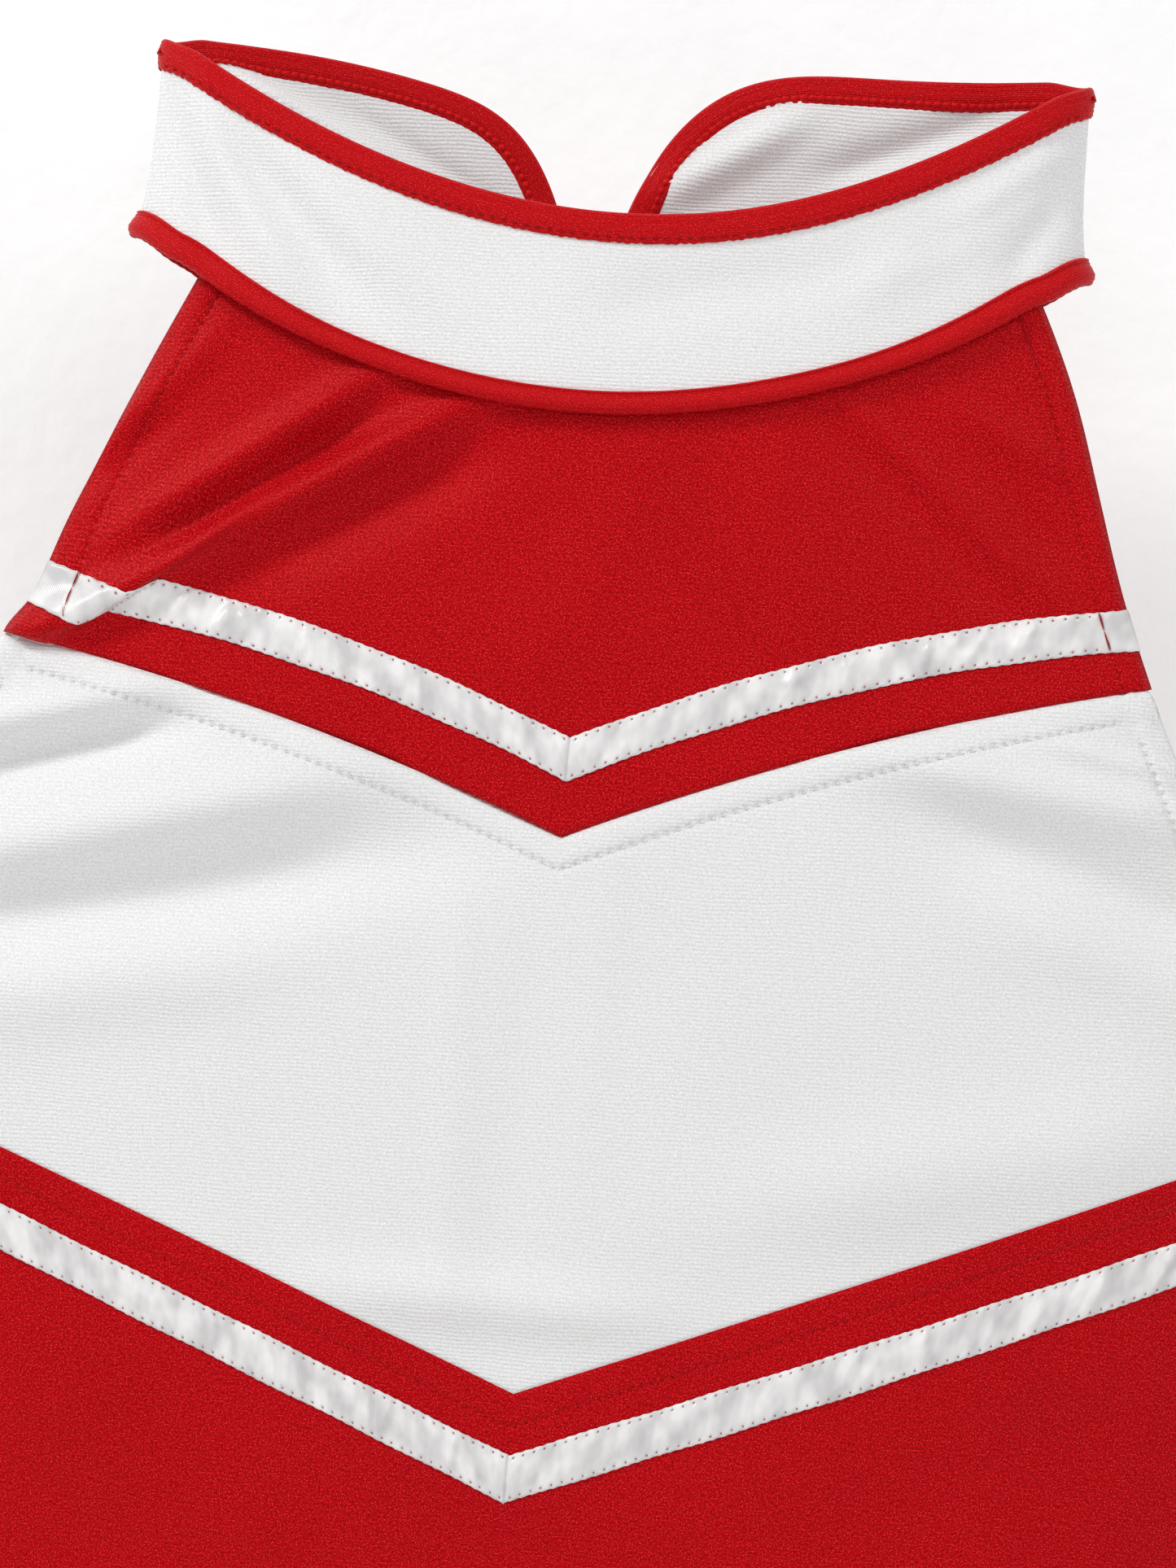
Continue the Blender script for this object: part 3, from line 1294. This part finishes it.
@dataclass(frozen=True)
class CollarBack:
    """One back half of the collar, which swings about the side fold."""

    side: int
    body: Body
    label: str
    bend: float = 9.0

    def build(self) -> None:
        """Makes the half, its bindings, bead chain and fastening."""
        outer, inner = self.side * NECK_HALF, self.side * NAPE_GAP
        name = f"collar_back_{self.label}"
        start, end = sorted((outer, inner))
        panel = Panel(name, COLLAR_BACK, lowered(nape_top, 2.0), lowered(collar_hem, -UNDERLAP), end,
                      start=start, rounded=True)
        cloth = place(panel.build(), WHITE_KNIT, None)
        top = Path.along(COLLAR_BACK, nape_top, start, end, rounded=True, step=0.5).inset(BINDING_TALL / 2)
        low = Path.along(COLLAR_BACK, collar_hem, start, end, rounded=True)
        chain = Thread(length=1.9, pitch=2.1, radius=0.62, rise=0.10, sides=10, jitter=0.03, side=-1)
        sewing = Thread(margin=FOLD_MARGIN)
        trims = [
            place(Binding(f"{name}_top_binding", top, scallop=0.1).build(), RED_BINDING, None),
            place(Binding(f"{name}_bottom_binding", low, tall=6.0, scallop=0.06).build(), RED_BINDING, None),
            place(chain.sew(f"{name}_bead_chain", [top.inset(1.7)], lift=1.2), CHAIN_THREAD, None),
            place(sewing.sew(f"{name}_stitches", [top.inset(BINDING_SEAM)], lift=1.05), RED_THREAD, None),
        ]
        for piece in [cloth, *trims]:
            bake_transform(piece)
        hang(panel)


@dataclass(frozen=True)
class Yoke:
    """The red halter yoke with its mitred satin ribbon and turned armhole hems."""

    tucked: float = 3.0
    elastic_wide: float = 5.0

    def stitched(self, u: np.ndarray, v: np.ndarray) -> tuple[np.ndarray, np.ndarray]:
        """The hems' stitched lines."""
        return v * 1.1, armhole_inset(u, v) - HEM_FOLD

    def hem_path(self, side: int, top: float, bottom: float, lift_surface: Surface) -> Path:
        """The stitched line inside one armhole edge."""
        v = np.linspace(top, bottom, 140)
        slope = armhole_half(v - 0.5) - armhole_half(v + 0.5)
        return Path(lift_surface, side * (armhole_half(v) - HEM_FOLD * np.sqrt(1 + slope * slope)), v)

    def build(self) -> None:
        """Makes the yoke, its ribbons, elastics and stitches."""
        upper = lowered(collar_hem, -self.tucked)
        panel = Panel("yoke_front", YOKE, upper, yoke_seam, corner(upper), lower_half=corner(yoke_seam),
                      step=1.4, stitched=self.stitched)
        cloth = place(panel.build(), RED_KNIT)
        tall = RIBBON_TALL - 1.1
        low = lowered(yoke_ribbon_top, tall)
        for side, label, seed in ((-1, "left", 11), (1, "right", 23)):
            ribbon = Ribbon(f"yoke_ribbon_{label}", YOKE, yoke_ribbon_top, 0.0,
                            side * corner(yoke_ribbon_top), seed, lower_end=side * corner(low), hemmed=True,
                            tall=tall)
            place(ribbon.build(), RIBBON)
            elastic = Panel(f"armhole_elastic_{label}", YOKE_BASE, lambda u: armhole_height(u) + 0 * u,
                            lambda u: armhole_height(u) - self.elastic_wide * 1.6, side * 131.0,
                            start=side * 97.0, depth=1.0, thick=0.5, rows=3)
            place(elastic.build(), ELASTIC)
        rows = [self.hem_path(side, -56.0, -140.0, YOKE) for side in (-1, 1)]
        hems = Thread(pitch=2.3).sew("yoke_hem_stitches", rows, lift=0.05)
        place(hems, RED_THREAD, slot=Slot.RED_KNIT)
        head = yoke_ribbon_top(corner(yoke_ribbon_top) - HEM_FOLD)
        crossing = [self.hem_path(side, head + 0.4, head - tall - 0.2, YOKE) for side in (-1, 1)]
        thread = Thread(length=4.7, pitch=4.9, radius=0.2, rise=0.02, jitter=0.0, margin=0.2)
        ends = thread.sew("ribbon_end_stitches", crossing, lift=1.0)
        place(ends, RED_THREAD, slot=Slot.RED_KNIT)
        hang(panel)


@dataclass(frozen=True)
class Chest:
    """The white chevron panel and the lining behind it."""

    def stitched(self, u: np.ndarray, v: np.ndarray) -> tuple[np.ndarray, np.ndarray]:
        """The topstitch below the yoke seam and the stitched lines of the armhole hems."""
        seam = below(yoke_seam, u, v) - TOPSTITCH
        hem = np.where(np.abs(u) > HEM_STARTS, armhole_inset(u, v) - HEM_FOLD, NO_STITCH)
        nearest = np.where(np.abs(seam - hem) < 3.0, NO_STITCH, np.minimum(seam, hem))
        return np.where(seam < hem, u * 1.07, v * 1.25), nearest

    def top(self, u: np.ndarray) -> np.ndarray:
        """The yoke seam, then the armhole edge down to the underarm."""
        return np.where(np.abs(u) <= corner(yoke_seam), yoke_seam(u), armhole_height(u))

    def build(self) -> None:
        """Makes the chest panel, its lining and its topstitch."""
        panel = Panel("chest_panel", CHEST, self.top, on_tube(chevron), UNDERARM_HALF, rounded=True, step=1.5,
                      stitched=self.stitched)
        cloth = place(panel.build(), WHITE_KNIT)
        row = Path.along(CHEST, yoke_seam, -corner(yoke_seam) + 7.0, corner(yoke_seam) - 7.0).inset(TOPSTITCH)
        sewn = place(Thread(radius=0.15).sew("chest_topstitch", [row], lift=-0.02), WHITE_THREAD)
        lining = Panel("chest_lining", CHEST, lowered(yoke_seam, 8.0), lowered(on_tube(chevron), -0.5), 112.0,
                       depth=1.1, thick=0.4, step=3.0)
        inside = place(lining.build(), LINING)
        hang(panel)
        hang(lining)


@dataclass(frozen=True)
class LowerBodice:
    """The red lower bodice, front or back, with its ribbon."""

    surface: Bodice
    label: str
    seed: int

    def stitched(self, u: np.ndarray, v: np.ndarray) -> tuple[np.ndarray, np.ndarray]:
        """The faint stitched line below the chevron seam."""
        return u * 1.08, below(on_tube(chevron), u, v) - TOPSTITCH

    def build(self) -> None:
        """Makes the lower panel and its ribbons."""
        panel = Panel(f"lower_panel_{self.label}", self.surface, lowered(on_tube(chevron), -1.2), waist_line,
                      UNDERARM_HALF, rounded=True, stitched=self.stitched)
        cloth = place(panel.build(), RED_KNIT)
        for side, label in ((-1, "left"), (1, "right")):
            ribbon = Ribbon(f"lower_ribbon_{self.label}_{label}", self.surface, on_tube(lower_ribbon_top),
                            0.0, side * UNDERARM_HALF * 0.999, self.seed + side)
            place(ribbon.build(), RIBBON)
        hang(panel)


@dataclass(frozen=True)
class LowBack:
    """The white low back with its bound, elasticated top edge."""

    elastic_wide: float = 5.0

    def build(self) -> None:
        """Makes the low back, its binding and its elastic."""
        panel = Panel("back_panel", BACK, lowered(back_edge, 2.0), on_tube(chevron), UNDERARM_HALF,
                      rounded=True)
        cloth = place(panel.build(), WHITE_KNIT)
        top = Path.along(BACK, back_edge, -UNDERARM_HALF, UNDERARM_HALF, rounded=True).inset(BINDING_TALL / 2)
        high = lowered(back_edge, 8.0)
        elastic = Panel("back_elastic", BACK, high, lowered(high, self.elastic_wide), 163.0, depth=1.1,
                        thick=0.5, rows=3)
        trims = [
            place(Binding("back_binding", top).build(), RED_BINDING),
            place(elastic.build(), ELASTIC),
            place(Thread().sew("back_stitches", [top.inset(BINDING_SEAM)], lift=1.05), RED_THREAD),
        ]
        hang(panel)


def girth(a: float, b: float) -> float:
    """Length round an ellipse of half width a and half depth b."""
    return math.pi * (3 * (a + b) - math.sqrt((3 * a + b) * (a + 3 * b)))


WAIST_GIRTH = girth(WAIST_HALF, WAIST_DEPTH)


@dataclass(frozen=True)
class Round(Surface):
    """The tube below the bodice, where u is the way round it at the waist, in millimetres."""

    waves: int = 0
    rise: float = 0.0
    deep: float = 0.0
    standoff: float = 0.0
    seed: int = 3

    def at(self, u: np.ndarray, v: np.ndarray) -> np.ndarray:
        """Points in space, in millimetres, of waist position u and height v."""
        angle = u / WAIST_GIRTH * math.tau
        wide, deep = half_width(v), half_depth(v)
        fall = np.clip((WAIST_BOTTOM - v) / (WAIST_BOTTOM - HEM), 0, 1)
        rng = np.random.default_rng(self.seed)
        drift = sum(rng.uniform(0.05, 0.16) * np.sin(angle * k + rng.uniform(0, math.tau))
                    for k in (1, 2, 3, 5))
        turn = angle * self.waves + drift * 2.5
        wave = np.cos(turn) + 0.22 * np.cos(2 * turn)
        ripple = wave * (self.rise + self.deep * fall ** 0.9)
        nx, ny = np.sin(angle) / wide, np.cos(angle) / deep
        size = np.hypot(nx, ny)
        lift = ripple + self.standoff
        x = wide * np.sin(angle) + lift * nx / size
        y = -(deep * np.cos(angle) + lift * ny / size)
        return np.stack([x, y, v], axis=-1)


SKIRT = Round(waves=26, rise=0.5, deep=7.5)
CASING = Round(waves=74, rise=0.35, standoff=1.2)


@dataclass(frozen=True)
class Waist:
    """The elasticated waistband and the blank label inside it."""

    tall: float = 30.0
    thick: float = 0.9
    seam: float = 3.0

    def ring(self, name: str, surface: Surface, top: float, bottom: float, depth: float,
             step: float = 1.4) -> bpy.types.Object:
        """A closed ring of cloth."""
        u = np.linspace(0, WAIST_GIRTH, int(WAIST_GIRTH / step), endpoint=False)[None, :]
        u, v = np.broadcast_arrays(u, np.linspace(top, bottom, 16)[:, None])
        swell = 0.9 * np.sin(np.linspace(0, math.pi, 16))[:, None] ** 0.5
        outer = surface.proud(u, v, swell - depth)
        inner = surface.proud(u, v, swell * 0 - depth - self.thick)
        sewn = np.minimum(top - self.seam - v, v - bottom - self.seam)
        return shell(name, outer, inner, np.stack([u, v], axis=-1), np.stack([u, sewn], axis=-1), closed=True)

    def build(self) -> None:
        """Makes the waistband, its elastic and its label."""
        band = self.ring("waistband", CASING, WAIST_TOP + 1.0, WAIST_BOTTOM - 1.0, 0.0)
        elastic = self.ring("waist_elastic", Round(), WAIST_TOP - 1.0, WAIST_BOTTOM + 1.0, 1.0, 3.0)
        place(band, RED_KNIT)
        place(elastic, ELASTIC)
        low, high = box_mm("care_label")
        u = np.linspace(low.x, high.x, 14)[None, :]
        v = np.linspace(high.z, low.z, 28)[:, None]
        x, z = np.broadcast_arrays(u, v)
        y = high.y - 0.6 * np.sin((z - low.z) / (high.z - low.z) * math.pi)
        y = y - 0.8 * (x / 12.0) ** 2 * (high.z - z) / 50
        face = np.stack([x, y, z], axis=-1)
        label = shell("care_label", face - [0, 0.15, 0], face + [0, 0.15, 0], np.stack([x, z], axis=-1))
        place(label, LABEL)


@dataclass(frozen=True)
class Skirt:
    """The flared skirt, front or back, with its hem ribbon."""

    label: str
    back: bool
    hem_above: float = 12.0

    def half(self, name: str, top: float, bottom: float, size: tuple[int, int], outer: float, inner: float,
             down: Edge, seam: Edge) -> bpy.types.Object:
        """Half a turn of cloth between two heights.

        Args:
            name: the piece's name.
            top: its upper height.
            bottom: its lower height.
            size: how many points across and down.
            outer: how proud of the skirt its outer face is.
            inner: the same for its inner face.
            down: the flat cloth's own height, of the height.
            seam: distance from the stitched line, of the height.

        Returns:
            The new object.
        """
        quarter = WAIST_GIRTH / 4
        middle = 2 * quarter if self.back else 0.0
        across = np.linspace(middle - quarter, middle + quarter, size[0])[None, :]
        u, v = np.broadcast_arrays(across, np.linspace(top, bottom, size[1])[:, None])
        along = (u - middle) * (half_width(v) / WAIST_HALF)
        faces = [SKIRT.proud(u, v, 0 * u + rise) for rise in (outer, inner)]
        return shell(name, *faces, np.stack([along, down(v)], axis=-1), np.stack([along, seam(v)], axis=-1))

    def build(self) -> None:
        """Makes the panel and its ribbon."""
        panel = self.half(f"skirt_{self.label}", WAIST_BOTTOM + 0.5, HEM, (301, 111), 0.0, -0.8,
                          lambda v: v, lambda v: v - HEM - 4.0)
        top = HEM + self.hem_above + RIBBON_TALL
        ribbon = self.half(f"hem_ribbon_{self.label}", top, top - RIBBON_TALL, (420, 11), 0.5, 0.05,
                           lambda v: top - v,
                           lambda v: np.minimum(top - v - 1.1, RIBBON_TALL - 1.1 - (top - v)))
        place(panel, RED_KNIT)
        place(ribbon, RIBBON)


# ---- Studio ----
@dataclass(frozen=True)
class Studio:
    """A pale wall and floor, soft lights and the camera."""

    wall: float = 0.082
    floor: float = -0.80
    aim: tuple[float, float, float] = (0.0051, 0.0, -0.1696)
    roll: tuple[float, float] = (0.9963, 0.0854)
    distance: float = 1.22
    lens: float = 120.0
    glow: float = 0.36

    def board(self) -> bpy.types.Material:
        """The wall's finish: matte white board, seen from its front only."""
        made = bpy.data.materials.new("pale_board")
        made.use_nodes = True
        nodes = Nodes(made.node_tree)
        out = nodes.new("ShaderNodeOutputMaterial")
        paint = nodes.new("ShaderNodeBsdfPrincipled")
        paint.inputs["Roughness"].default_value = 0.8
        paint.inputs["Specular IOR Level"].default_value = 0.2
        paint.inputs["Emission Color"].default_value = rgb(1.0)
        paint.inputs["Emission Strength"].default_value = self.glow
        clear = nodes.new("ShaderNodeBsdfTransparent")
        mixer = nodes.new("ShaderNodeMixShader")
        nodes.link(nodes.new("ShaderNodeNewGeometry").outputs["Backfacing"], mixer.inputs[0])
        nodes.link(paint.outputs[0], mixer.inputs[1])
        nodes.link(clear.outputs[0], mixer.inputs[2])
        nodes.link(mixer.outputs[0], out.inputs[0])
        where = nodes.new("ShaderNodeTexCoord").outputs["Object"]
        grain = nodes.noise(where, 180.0, 5.0)
        nodes.link(nodes.mix(nodes.span(nodes.noise(where, 22.0, 3.0), 0.35, 0.65), rgb(0.60),
                             rgb(0.63)), paint.inputs["Base Color"])
        Finish.relief(nodes, paint, grain, 1.6, 0.35)
        return made

    def build(self) -> None:
        """Makes the stage, lights and camera."""
        drop, back, reach, bend = self.floor, self.wall, 2.6, 0.25
        profile = [(back, 1.6)] + [(back - bend + bend * math.cos(a), drop + bend - bend * math.sin(a))
                                   for a in np.linspace(0, math.pi / 2, 16)] + [(-2.4, drop)]
        points = [(x, y, z) for y, z in profile for x in (-reach, reach)]
        faces = [(2 * i, 2 * i + 1, 2 * i + 3, 2 * i + 2) for i in range(len(profile) - 1)]
        mesh = bpy.data.meshes.new("backdrop")
        mesh.from_pydata(points, [], faces)
        mesh.polygons.foreach_set("use_smooth", [True] * len(faces))
        mesh.update()
        if mesh.polygons[0].normal.y > 0:
            mesh.flip_normals()
        mesh.materials.append(self.board())
        wall = bpy.data.objects.new("backdrop", mesh)
        bpy.context.scene.collection.objects.link(wall)
        world = bpy.data.worlds.new("studio")
        world.use_nodes = True
        world.node_tree.nodes["Background"].inputs[0].default_value = rgb(1.0)
        world.node_tree.nodes["Background"].inputs[1].default_value = 0.46
        bpy.context.scene.world = world
        self.lamp("key", (-1.3, -0.95, 1.25), 0.45, 23.0)
        self.lamp("fill", (0.95, -1.4, 1.2), 0.8, 10.0)
        self.lamp("front", (0.1, -2.0, 0.3), 0.8, 3.2)
        self.lamp("back_fill", (0.3, 1.9, 0.6), 1.2, 16.0)
        self.camera()
        bpy.context.scene.view_settings.view_transform = "Standard"

    def lamp(self, name: str, where: tuple[float, float, float], size: float, power: float) -> None:
        """A square soft light aimed at the garment."""
        light = bpy.data.lights.new(name, "AREA")
        light.size, light.energy = size, power
        lamp = bpy.data.objects.new(name, light)
        lamp.location = where
        lamp.rotation_euler = (Vector(self.aim) - Vector(where)).to_track_quat("-Z", "Y").to_euler()
        bpy.context.scene.collection.objects.link(lamp)

    def camera(self) -> None:
        """The camera, square to the wall and a little rolled."""
        data = bpy.data.cameras.new("camera")
        data.lens, data.sensor_width = self.lens, 36.0
        cam = bpy.data.objects.new("camera", data)
        c, s = self.roll
        right, up, back = Vector((c, 0, s)), Vector((-s, 0, c)), Vector((0, -1, 0))
        turn = Matrix((right, up, back)).transposed().to_4x4()
        cam.matrix_world = Matrix.Translation(Vector(self.aim) + back * self.distance) @ turn
        bpy.context.scene.collection.objects.link(cam)
        bpy.context.scene.camera = cam


def dress_frame() -> None:
    """Gives the carried-over hooks and eyes their plated finish."""
    for name in ("nape_hooks", "nape_eyes"):
        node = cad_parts[name]
        node.data.materials.clear()
        node.data.materials.append(METAL.material())


def main() -> None:
    """Builds the uniform round its frame, then the studio."""
    logging.basicConfig(level=logging.INFO, format="%(name)s: %(message)s")
    CollarBack(-1, Body.LEFT, "left").build()
    CollarBack(1, Body.RIGHT, "right").build()
    CollarFront().build()
    Yoke().build()
    Chest().build()
    LowerBodice(LOWER_FRONT, "front", 31).build()
    LowerBodice(LOWER_BACK, "back", 47).build()
    LowBack().build()
    Waist().build()
    Skirt("front", False).build()
    Skirt("back", True).build()
    dress_frame()
    Studio().build()


if __name__ == "__main__":
    main()
